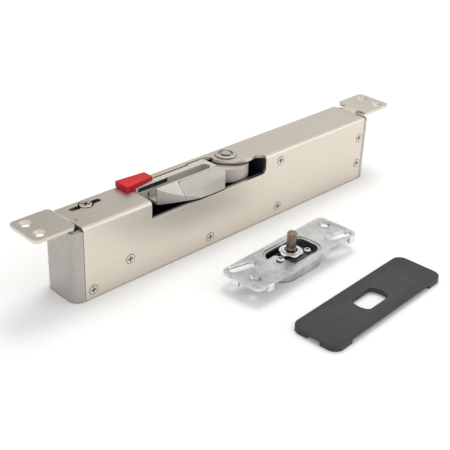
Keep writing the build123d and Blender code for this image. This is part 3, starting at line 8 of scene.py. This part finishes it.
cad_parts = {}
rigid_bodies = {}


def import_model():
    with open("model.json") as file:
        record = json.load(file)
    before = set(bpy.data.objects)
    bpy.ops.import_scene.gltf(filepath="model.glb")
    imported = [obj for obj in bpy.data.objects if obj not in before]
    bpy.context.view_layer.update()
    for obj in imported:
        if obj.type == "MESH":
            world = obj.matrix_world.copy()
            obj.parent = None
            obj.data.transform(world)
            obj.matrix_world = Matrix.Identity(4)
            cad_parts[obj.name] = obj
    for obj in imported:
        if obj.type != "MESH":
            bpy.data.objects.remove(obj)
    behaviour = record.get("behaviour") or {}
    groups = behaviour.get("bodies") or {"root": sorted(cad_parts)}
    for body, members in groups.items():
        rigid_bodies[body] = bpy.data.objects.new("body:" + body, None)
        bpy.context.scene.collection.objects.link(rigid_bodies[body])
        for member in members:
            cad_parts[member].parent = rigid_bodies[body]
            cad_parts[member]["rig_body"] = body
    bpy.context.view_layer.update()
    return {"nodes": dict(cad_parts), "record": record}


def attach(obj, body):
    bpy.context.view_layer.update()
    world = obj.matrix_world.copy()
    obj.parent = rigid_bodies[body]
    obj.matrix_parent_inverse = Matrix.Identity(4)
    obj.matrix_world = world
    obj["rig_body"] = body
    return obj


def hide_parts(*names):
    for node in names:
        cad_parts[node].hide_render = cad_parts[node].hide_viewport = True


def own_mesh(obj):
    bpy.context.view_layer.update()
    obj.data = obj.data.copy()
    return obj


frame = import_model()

# Camera, in metres and degrees. Its target is the centre of the housing's underside.
AZIMUTH = -45.43
ELEVATION = 29.242
ROLL = 2.461
DISTANCE = 0.59763
AIM_RIGHT = 0.001107
AIM_UP = -0.000887
SENSOR = 36.0  # millimetres, like the focal length
FOCAL = 74.763
CLIP_START = 0.01

# Sky: its tint, its levels at the horizon and overhead, and the height of the upper level.
# A patch has its direction, how near to that its edge and its core lie, and its change of level.
SKY_TINT = (1.0, 0.995, 0.985, 1)
SKY_LOW = 0.68
SKY_HIGH = 0.94
SKY_TOP = 0.8
SKY_PATCHES = (
    ((0.68, -0.62, 0.39), 0.88, 0.99, 0.8),  # soft box that lights the front bend
    ((0.30, 0.81, 0.50), 0.905, 0.965, -0.34),  # dim wall behind the set
)

# Floor: its half width in metres, its tone, and its glow by the set and far from it
FLOOR_REACH = 4.0
FLOOR_TONE = 0.80
GLOW_NEAR = 0.3
GLOW_FAR = 1.4
FLOOR_LIFT = 0.07
FLOOR_FAR_LIFT = 0.5

# Lamps: name, place, size, power and colour
LAMPS = (
    ("key", (0.45, 0.25, 1.2), 0.6, 7.0, (1.0, 0.98, 0.95)),
    ("fill", (0.9, -0.6, 0.9), 0.7, 0.8, (0.97, 0.98, 1.0)),
)
LAMP_AIM = (0, -0.05, 0.02)

# Rounded edges, in metres
SHEET_EDGE = 0.00016
CAST_EDGE = 0.00045
FINE_EDGE = 0.00012
SHARP_ANGLE = math.radians(32)
FACET_ANGLE = math.radians(9)
EDGE_STEPS = 2
FACE_WEIGHT = 80  # share of the large faces in the shading beside a rounded edge

# Cleaning of a mesh: points to weld and slivers to drop, in metres, and what counts as flat
WELD = 1e-6
SLIVER = 3e-6
FLAT_ANGLE = math.radians(0.2)

# Texture, in features per metre, and bump, in metres
CREVICE_NOISE = 500.0
WEAR_NOISE = 700.0
CLOUD_NOISE = 90.0
PIT_NOISE = 900.0
HAIRLINES_PER_STREAK = 6.0
HAIRLINE_DEPTH = 0.000012
PLASTIC_GRAIN = 0.0003
PLASTIC_DEPTH = 0.00001

# Wear brightens the light colour, and the painted shade and dirt in crevices are a share of the
# dark one
WEAR_START = 0.505  # pointiness of an edge that begins to wear
STEEL_WORN = 1.06
CAST_WORN = 1.25
PLASTIC_WORN = 1.3
WORN_LIFT = 0.008
SHADE_AND_DIRT_SHARE = 0.12
# painted shade and grime in the crevices of plastic: its strength and its reach
PLASTIC_SHADE_AND_GRIME = 0.6
PLASTIC_REACH = 0.001


# Stage

def place_camera():
    """Puts the camera at the photograph's viewpoint."""
    azimuth, elevation, roll = (math.radians(turn) for turn in (AZIMUTH, ELEVATION, ROLL))
    back = Vector((
        math.sin(azimuth) * math.cos(elevation),
        -math.cos(azimuth) * math.cos(elevation),
        math.sin(elevation),
    ))
    level = Vector((0, 0, 1)).cross(back).normalized()
    upright = back.cross(level)
    right = level * math.cos(roll) + upright * math.sin(roll)
    up = upright * math.cos(roll) - level * math.sin(roll)
    data = bpy.data.cameras.new("view")
    data.sensor_width = SENSOR
    data.lens = FOCAL
    data.clip_start = CLIP_START
    camera = bpy.data.objects.new("view", data)
    camera.matrix_world = Matrix((right, up, back)).transposed().to_4x4()
    camera.location = back * DISTANCE + right * AIM_RIGHT + up * AIM_UP
    bpy.context.scene.collection.objects.link(camera)
    bpy.context.scene.camera = camera


def add_lamp(name, place, size, power, colour):
    """A square soft box that faces the middle of the set."""
    data = bpy.data.lights.new(name, "AREA")
    data.size = size
    data.energy = power
    data.color = colour
    lamp = bpy.data.objects.new(name, data)
    lamp.location = place
    lamp.visible_glossy = False
    aim = Vector(LAMP_AIM) - Vector(place)
    lamp.rotation_euler = aim.to_track_quat("-Z", "Y").to_euler()
    bpy.context.scene.collection.objects.link(lamp)


def add(tree, kind, inputs=None, **settings):
    """Adds a shader node. Its inputs are given by name: a socket is linked, a value is set."""
    made = tree.nodes.new(kind)
    for name, value in settings.items():
        setattr(made, name, value)
    for name, value in (inputs or {}).items():
        socket = made.inputs[name]
        if isinstance(value, bpy.types.NodeSocket):
            tree.links.new(value, socket)
        else:
            socket.default_value = value
    return made


def arithmetic(tree, operation, first, second=0.0):
    """A Math node's result."""
    return add(tree, "ShaderNodeMath", {0: first, 1: second}, operation=operation).outputs[0]


def ranged(tree, value, low, high, out_low, out_high):
    """A value moved from one range into another, and held in it."""
    return add(
        tree, "ShaderNodeMapRange",
        {"Value": value, "From Min": low, "From Max": high, "To Min": out_low, "To Max": out_high},
    ).outputs[0]


def mixed(tree, factor, first, second):
    """A colour between two others. Its colour sockets are inputs 6 and 7 and output 2."""
    made = tree.nodes.new("ShaderNodeMix")
    made.data_type = "RGBA"
    for index, value in ((0, factor), (6, first), (7, second)):
        if isinstance(value, bpy.types.NodeSocket):
            tree.links.new(value, made.inputs[index])
        else:
            made.inputs[index].default_value = (*value, 1) if index else value
    return made.outputs[2]


def seen_directly(tree):
    """1 where a camera, mirror or glass ray looks, and 0 for the light that falls on things."""
    path = add(tree, "ShaderNodeLightPath")
    seen = arithmetic(
        tree, "MAXIMUM", path.outputs["Is Camera Ray"], path.outputs["Is Glossy Ray"]
    )
    return arithmetic(tree, "MAXIMUM", seen, path.outputs["Is Transmission Ray"])


def light_sky():
    """A pale studio, brighter overhead and dimmer behind, that the camera sees as white."""
    world = bpy.data.worlds.new("studio")
    bpy.context.scene.world = world
    world.use_nodes = True
    tree = world.node_tree
    background = tree.nodes["Background"]
    direction = add(tree, "ShaderNodeTexCoord").outputs["Generated"]
    height = add(tree, "ShaderNodeSeparateXYZ", {0: direction}).outputs["Z"]
    level = ranged(tree, height, 0.0, SKY_TOP, SKY_LOW, SKY_HIGH)
    for way, edge, core, change in SKY_PATCHES:
        near = add(
            tree, "ShaderNodeVectorMath", {0: direction, 1: way}, operation="DOT_PRODUCT"
        ).outputs["Value"]
        level = arithmetic(tree, "ADD", level, ranged(tree, near, edge, core, 0.0, change))
    camera = add(tree, "ShaderNodeLightPath").outputs["Is Camera Ray"]
    strength = arithmetic(tree, "MAXIMUM", level, camera)
    background.inputs["Color"].default_value = SKY_TINT
    tree.links.new(strength, background.inputs["Strength"])


def lay_floor():
    """A pale floor that keeps soft shadows."""
    mesh = bpy.data.meshes.new("floor")
    reach = FLOOR_REACH
    corners = [(-reach, -reach, 0), (reach, -reach, 0), (reach, reach, 0), (-reach, reach, 0)]
    mesh.from_pydata(corners, [], [(0, 1, 2, 3)])
    floor = bpy.data.objects.new("floor", mesh)
    bpy.context.scene.collection.objects.link(floor)
    material = bpy.data.materials.new("floor")
    material.use_nodes = True
    tree = material.node_tree
    tree.nodes.remove(tree.nodes["Principled BSDF"])
    tone = (FLOOR_TONE, FLOOR_TONE, FLOOR_TONE, 1)
    matt = add(tree, "ShaderNodeBsdfDiffuse", {"Color": tone}).outputs[0]
    spot = add(tree, "ShaderNodeTexCoord").outputs["Object"]
    away = add(tree, "ShaderNodeVectorMath", {0: spot}, operation="LENGTH").outputs["Value"]
    lift = ranged(tree, away, GLOW_NEAR, GLOW_FAR, FLOOR_LIFT, FLOOR_FAR_LIFT)
    lift = arithmetic(tree, "MULTIPLY", seen_directly(tree), lift)
    glow = add(tree, "ShaderNodeEmission", {"Strength": lift}).outputs[0]
    both = add(tree, "ShaderNodeAddShader", {0: matt, 1: glow}).outputs[0]
    tree.links.new(both, tree.nodes["Material Output"].inputs["Surface"])
    mesh.materials.append(material)


# Effects that several finishes share

def new_group(name, inputs, outputs):
    """An empty shader group with float inputs and outputs."""
    group = bpy.data.node_groups.new(name, "ShaderNodeTree")
    for label, value in inputs.items():
        socket = group.interface.new_socket(label, in_out="INPUT", socket_type="NodeSocketFloat")
        socket.default_value = value
    for label in outputs:
        group.interface.new_socket(label, in_out="OUTPUT", socket_type="NodeSocketFloat")
    return group, group.nodes.new("NodeGroupInput"), group.nodes.new("NodeGroupOutput")


def noise(tree, place, scale, detail, roughness=0.55):
    """A noise value at a place, with features of 1/scale metres."""
    return add(
        tree, "ShaderNodeTexNoise",
        {"Vector": place, "Scale": scale, "Detail": detail, "Roughness": roughness},
    ).outputs[0]


def grain_effect(name, grain_axis):
    """Brushed grain: long streaks and fine hairlines along one axis."""
    group, given, result = new_group(
        name, {"Streak length": 0.05, "Streak width": 0.0015}, ["Streaks", "Hairlines"]
    )
    spot = add(group, "ShaderNodeTexCoord").outputs["Object"]
    along = arithmetic(group, "DIVIDE", 1.0, given.outputs["Streak length"])
    across = arithmetic(group, "DIVIDE", 1.0, given.outputs["Streak width"])
    scales = {axis: along if axis == grain_axis else across for axis in "XYZ"}
    stretch = add(group, "ShaderNodeCombineXYZ", scales)
    wide = add(
        group, "ShaderNodeVectorMath", {0: spot, 1: stretch.outputs[0]}, operation="MULTIPLY"
    ).outputs[0]
    finer = (HAIRLINES_PER_STREAK,) * 3
    fine = add(
        group, "ShaderNodeVectorMath", {0: wide, 1: finer}, operation="MULTIPLY"
    ).outputs[0]
    group.links.new(noise(group, wide, 1.0, 3.0), result.inputs["Streaks"])
    group.links.new(noise(group, fine, 1.0, 2.0, 0.7), result.inputs["Hairlines"])
    return group


def crevice_effect():
    """Painted shade and grime that gather in corners, recesses and seams: an occlusion mask,
    broken up by noise.
    """
    group, given, result = new_group("dark crevices", {"Reach": 0.0015}, ["Grime"])
    # painted shade: occlusion over a short reach marks corners, recesses and gaps where less light
    # falls
    shut = add(
        group, "ShaderNodeAmbientOcclusion", {"Distance": given.outputs["Reach"]}, samples=6
    ).outputs["AO"]
    spot = add(group, "ShaderNodeTexCoord").outputs["Object"]
    # noise adds uneven grime to the painted shade
    broken = ranged(group, noise(group, spot, CREVICE_NOISE, 3.0), 0.3, 0.7, 0.0, 0.12)
    depth = arithmetic(group, "ADD", shut, broken)
    group.links.new(ranged(group, depth, 0.42, 0.88, 1.0, 0.0), result.inputs["Grime"])
    return group


def wear_effect():
    """Worn convex edges, broken up by noise."""
    group, given, result = new_group("edge wear", {"Reach": 0.06}, ["Wear"])
    pointed = add(group, "ShaderNodeNewGeometry").outputs["Pointiness"]
    top = arithmetic(group, "ADD", WEAR_START, given.outputs["Reach"])
    edge = ranged(group, pointed, WEAR_START, top, 0.0, 1.0)
    spot = add(group, "ShaderNodeTexCoord").outputs["Object"]
    broken = ranged(group, noise(group, spot, WEAR_NOISE, 4.0), 0.3, 0.62, 0.25, 1.0)
    group.links.new(arithmetic(group, "MULTIPLY", edge, broken), result.inputs["Wear"])
    return group


def skin_effect():
    """Surface of a casting or moulding: fine grains, soft clouds and small pits."""
    group, given, result = new_group(
        "cast skin", {"Grain size": 0.0004}, ["Grains", "Clouds", "Pits"]
    )
    spot = add(group, "ShaderNodeTexCoord").outputs["Object"]
    scale = arithmetic(group, "DIVIDE", 1.0, given.outputs["Grain size"])
    group.links.new(noise(group, spot, scale, 3.0, 0.6), result.inputs["Grains"])
    group.links.new(noise(group, spot, CLOUD_NOISE, 3.0), result.inputs["Clouds"])
    cells = add(group, "ShaderNodeTexVoronoi", {"Vector": spot, "Scale": PIT_NOISE}).outputs[0]
    group.links.new(ranged(group, cells, 0.05, 0.22, 0.0, 1.0), result.inputs["Pits"])
    return group


def smudge_effect():
    """Faint marks of handling that change the gloss."""
    group, given, result = new_group("handling marks", {"Size": 0.03}, ["Marks"])
    spot = add(group, "ShaderNodeTexCoord").outputs["Object"]
    scale = arithmetic(group, "DIVIDE", 1.0, given.outputs["Size"])
    marks = noise(group, spot, scale, 4.0, 0.62)
    group.links.new(ranged(group, marks, 0.38, 0.66, 0.0, 1.0), result.inputs["Marks"])
    return group


GRAIN = grain_effect("lengthwise grain", "X")
# upright streaks: grain, and on the pin also painted reflection bands
UPRIGHT_GRAIN_AND_BANDS = grain_effect("upright grain and reflection bands", "Z")
CREVICE = crevice_effect()
WEAR = wear_effect()
SKIN = skin_effect()
SMUDGE = smudge_effect()


def effect(tree, group, **values):
    """Places a shared effect and returns its outputs."""
    made = add(tree, "ShaderNodeGroup", node_tree=group)
    for name, value in values.items():
        made.inputs[name.replace("_", " ")].default_value = value
    return made.outputs


# Finishes

def start_finish(name, metallic, ior=1.5):
    """A new material, its tree and its shader."""
    material = bpy.data.materials.new(name)
    material.use_nodes = True
    tree = material.node_tree
    shader = tree.nodes["Principled BSDF"]
    shader.inputs["Metallic"].default_value = metallic
    shader.inputs["IOR"].default_value = ior
    return material, tree, shader


def bump(tree, shader, height, depth):
    """Gives the shader a bumpy surface, with a depth in metres."""
    normal = add(
        tree, "ShaderNodeBump", {"Height": height, "Distance": depth, "Strength": 1.0}
    ).outputs[0]
    tree.links.new(normal, shader.inputs["Normal"])


def coloured(tree, shader, tone, light, dark, worn, shade_and_grime_strength, reach):
    """Colour that runs from dark to light, paler where worn and darker in crevices with painted
    shade and grime.
    """
    wear = effect(tree, WEAR)["Wear"]
    crevice_shade_and_grime = effect(tree, CREVICE, Reach=reach)["Grime"]
    bright = tuple(min(1.0, channel * worn + WORN_LIFT) for channel in light)
    shade_and_dirt_colour = tuple(channel * SHADE_AND_DIRT_SHARE for channel in dark)
    colour = mixed(tree, wear, mixed(tree, tone, dark, light), bright)
    # painted shade: crevices darken towards a share of the dark colour, together with grime
    shaded = mixed(tree, arithmetic(tree, "MULTIPLY", crevice_shade_and_grime, shade_and_grime_strength), colour, shade_and_dirt_colour)
    tree.links.new(shaded, shader.inputs["Base Color"])


def brushed_steel(name, light, dark, rough, width=0.0015, group=GRAIN, shade_and_grime_strength=0.9, reach=0.0012):
    """Sheet or bar with a brushed grain, rubbed brighter at its edges."""
    material, tree, shader = start_finish(name, 1.0)
    grain = effect(tree, group, Streak_width=width)
    marks = effect(tree, SMUDGE)["Marks"]
    tone = ranged(tree, grain["Streaks"], 0.3, 0.7, 0.0, 1.0)
    coloured(tree, shader, tone, light, dark, STEEL_WORN, shade_and_grime_strength, reach)
    gloss = arithmetic(tree, "MULTIPLY", grain["Hairlines"], 0.10)
    gloss = arithmetic(tree, "ADD", gloss, rough - 0.05)
    smudged = arithmetic(tree, "MULTIPLY", marks, 0.05)
    tree.links.new(arithmetic(tree, "ADD", gloss, smudged), shader.inputs["Roughness"])
    bump(tree, shader, grain["Hairlines"], HAIRLINE_DEPTH)
    return material


def cast_metal(name, light, dark, rough, grain_size=0.0004, depth=0.00002, metallic=1.0,
               shade_and_grime_strength=0.85, reach=0.0012):
    """Casting with a slightly grainy skin and soft clouds."""
    material, tree, shader = start_finish(name, metallic)
    skin = effect(tree, SKIN, Grain_size=grain_size)
    marks = effect(tree, SMUDGE, Size=0.012)["Marks"]
    tone = ranged(tree, skin["Clouds"], 0.35, 0.65, 0.0, 1.0)
    coloured(tree, shader, tone, light, dark, CAST_WORN, shade_and_grime_strength, reach)
    gloss = arithmetic(tree, "MULTIPLY", marks, 0.08)
    gloss = arithmetic(tree, "ADD", gloss, rough - 0.04)
    tree.links.new(gloss, shader.inputs["Roughness"])
    height = arithmetic(tree, "MULTIPLY", skin["Grains"], skin["Pits"])
    bump(tree, shader, height, depth)
    return material


def moulded_plastic(name, light, dark, rough, ior=1.38):
    """Plastic with a fine texture and paler rubbed edges."""
    material, tree, shader = start_finish(name, 0.0, ior)
    skin = effect(tree, SKIN, Grain_size=PLASTIC_GRAIN)
    marks = effect(tree, SMUDGE, Size=0.02)["Marks"]
    tone = ranged(tree, skin["Clouds"], 0.35, 0.65, 0.0, 1.0)
    coloured(tree, shader, tone, light, dark, PLASTIC_WORN, PLASTIC_SHADE_AND_GRIME, PLASTIC_REACH)
    gloss = arithmetic(tree, "MULTIPLY", marks, 0.1)
    gloss = arithmetic(tree, "ADD", gloss, rough - 0.05)
    tree.links.new(gloss, shader.inputs["Roughness"])
    bump(tree, shader, skin["Grains"], PLASTIC_DEPTH)
    return material


# The grime strength and reach of each finish set how strongly painted shade and grime darken its
# crevices.
FINISHES = {
    "steel_sheet": brushed_steel("brushed sheet", (0.71, 0.652, 0.57), (0.67, 0.612, 0.535), 0.33,
                                 reach=0.0022),
    "steel_dark": brushed_steel("zinc-plated sheet", (0.50, 0.50, 0.51), (0.40, 0.40, 0.42), 0.4),
    "end_cast": cast_metal("grey end castings", (0.42, 0.40, 0.375), (0.39, 0.37, 0.35), 0.42,
                           metallic=0.75),
    "black_plastic": moulded_plastic("black tray", (0.022, 0.022, 0.028), (0.012, 0.012, 0.016),
                                     0.5),
    "grey_plastic": moulded_plastic("dark filler", (0.05, 0.05, 0.055), (0.03, 0.03, 0.035), 0.6),
    "screw_steel": brushed_steel("screw steel", (0.70, 0.65, 0.58), (0.55, 0.51, 0.46), 0.24,
                                 shade_and_grime_strength=1.0, reach=0.0018),
    "bush_bronze": cast_metal("sintered bronze", (0.60, 0.42, 0.22), (0.5, 0.34, 0.18), 0.4),
    "bush_steel": brushed_steel("turned ring", (0.66, 0.61, 0.55), (0.58, 0.54, 0.49), 0.25,
                                shade_and_grime_strength=1.0, reach=0.0024),
    "arm_cast": cast_metal("satin cast arm", (0.54, 0.505, 0.475), (0.50, 0.47, 0.44), 0.54,
                           depth=0.000008, metallic=0.5, shade_and_grime_strength=1.0, reach=0.0009),
    "shaft_steel": brushed_steel("ground steel", (0.64, 0.62, 0.58), (0.54, 0.52, 0.49), 0.22,
                                 reach=0.001),
    "spring_steel": brushed_steel("spring steel", (0.4, 0.4, 0.41), (0.3, 0.3, 0.31), 0.3),
    "gear_steel": cast_metal("sintered steel", (0.42, 0.42, 0.43), (0.34, 0.34, 0.35), 0.4),
    "damper_alloy": brushed_steel("turned alloy", (0.70, 0.71, 0.73), (0.6, 0.61, 0.63), 0.3),
    "block_alloy": cast_metal("die-cast blocks", (0.60, 0.61, 0.63), (0.52, 0.53, 0.55), 0.42),
    "seal_rubber": moulded_plastic("black rubber", (0.016, 0.018, 0.026), (0.010, 0.011, 0.016),
                                   0.6, ior=1.3),
    "clip_red": moulded_plastic("red moulding", (0.47, 0.008, 0.014), (0.41, 0.006, 0.010), 0.45,
                                ior=1.33),
    "striker_zinc": cast_metal("raw zinc casting", (0.68, 0.70, 0.705), (0.36, 0.38, 0.40), 0.30,
                               grain_size=0.0008, depth=0.00003, shade_and_grime_strength=1.0, reach=0.0018),
    # painted shade: the dark bluish tone gives the slider's own dark finish and the shade inside
    # the striker's window
    "slider_dark": cast_metal("dark slider and cavity shade", (0.10, 0.11, 0.15), (0.05, 0.06, 0.09), 0.3),
    # painted reflection: the wide gap between light and dark, laid in upright streaks, paints the
    # pin's vertical reflection bands along with its grain
    "pin_bronze": brushed_steel("bronzed pin", (0.34, 0.25, 0.20), (0.16, 0.12, 0.10), 0.26,
                                width=0.0011, group=UPRIGHT_GRAIN_AND_BANDS, shade_and_grime_strength=1.0, reach=0.002),
    "nut_zinc": cast_metal("bright zinc plate", (0.80, 0.81, 0.82), (0.66, 0.68, 0.70), 0.18,
                           depth=0.000006, shade_and_grime_strength=1.0, reach=0.0018),
    "cover_grey": moulded_plastic("dark cover", (0.046, 0.043, 0.044), (0.039, 0.037, 0.038),
                                  0.55, ior=1.36),
}
SLOT_OF = {entry["node"]: entry["material_slot"] for entry in frame["record"]["subparts"]}


# Pieces

def dress(piece, slot):
    """Gives a piece the finish of a slot."""
    piece.data.materials.clear()
    piece.data.materials.append(FINISHES[slot])


def stand_in(node):
    """A copy of a CAD node that stands for it, on the same body."""
    source = frame["nodes"][node]
    piece = bpy.data.objects.new(f"{node}_finished", source.data.copy())
    bpy.context.scene.collection.objects.link(piece)
    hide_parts(node)
    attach(piece, source["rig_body"])
    dress(piece, SLOT_OF[node])
    return piece


def softened(node, width, sharp):
    """A copy of a CAD node with its sharp edges rounded. Narrow faces keep sharp ones."""
    piece = stand_in(node)
    mesh = piece.data
    form = bmesh.new()
    form.from_mesh(mesh)
    bmesh.ops.remove_doubles(form, verts=form.verts, dist=WELD)
    bmesh.ops.dissolve_degenerate(form, edges=form.edges, dist=SLIVER)
    bmesh.ops.dissolve_limit(
        form, angle_limit=FLAT_ANGLE, verts=form.verts, edges=form.edges
    )
    for face in form.faces:
        face.smooth = True
    weights = form.edges.layers.float.new("bevel_weight_edge")
    for edge in form.edges:
        if edge.is_manifold and edge.calc_face_angle() > sharp:
            breadth = min(2 * face.calc_area() / face.calc_perimeter() for face in edge.link_faces)
            edge.smooth = breadth > width
            edge[weights] = float(edge.smooth)
    form.to_mesh(mesh)
    form.free()
    bevel = piece.modifiers.new("rounded edges", "BEVEL")
    bevel.width = width
    bevel.segments = EDGE_STEPS
    bevel.limit_method = "WEIGHT"
    bevel.use_clamp_overlap = False
    weighted = piece.modifiers.new("even shading", "WEIGHTED_NORMAL")
    weighted.mode = "FACE_AREA"
    weighted.weight = FACE_WEIGHT
    weighted.keep_sharp = True


def wind_spring():
    """The closing spring, as a copy with a mesh of its own. The real spring shortens towards its
    anchor as the rack comes nearer; this script leaves its mesh as it is.
    """
    spring = stand_in("closing_spring")
    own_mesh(spring)


for name, cad in frame["nodes"].items():
    dress(cad, SLOT_OF[name])

for name, width, sharp in (
    ("cover_channel", SHEET_EDGE, SHARP_ANGLE),
    ("end_block_left", CAST_EDGE, SHARP_ANGLE),
    ("end_block_right", CAST_EDGE, SHARP_ANGLE),
    ("arm_casting", SHEET_EDGE, FACET_ANGLE),
    ("arm_hood", FINE_EDGE, FACET_ANGLE),
    ("pocket_liner", SHEET_EDGE, SHARP_ANGLE),
    ("striker_plate", SHEET_EDGE, SHARP_ANGLE),
    ("striker_nut", FINE_EDGE, SHARP_ANGLE),
    ("striker_slider", SHEET_EDGE, SHARP_ANGLE),
    ("striker_cover", SHEET_EDGE, SHARP_ANGLE),
    ("striker_pin", FINE_EDGE, SHARP_ANGLE),
    ("clamp_screws", FINE_EDGE, SHARP_ANGLE),
    ("transport_clip", FINE_EDGE, SHARP_ANGLE),
    ("adjuster_screw", FINE_EDGE, SHARP_ANGLE),
    ("front_screws", SHEET_EDGE, SHARP_ANGLE),
    ("rear_screws", SHEET_EDGE, SHARP_ANGLE),
    ("top_bush", FINE_EDGE, SHARP_ANGLE),
    ("spindle", FINE_EDGE, SHARP_ANGLE),
):
    softened(name, width, sharp)
wind_spring()

light_sky()
lay_floor()
for lamp in LAMPS:
    add_lamp(*lamp)
place_camera()
bpy.context.scene.view_settings.view_transform = "Standard"
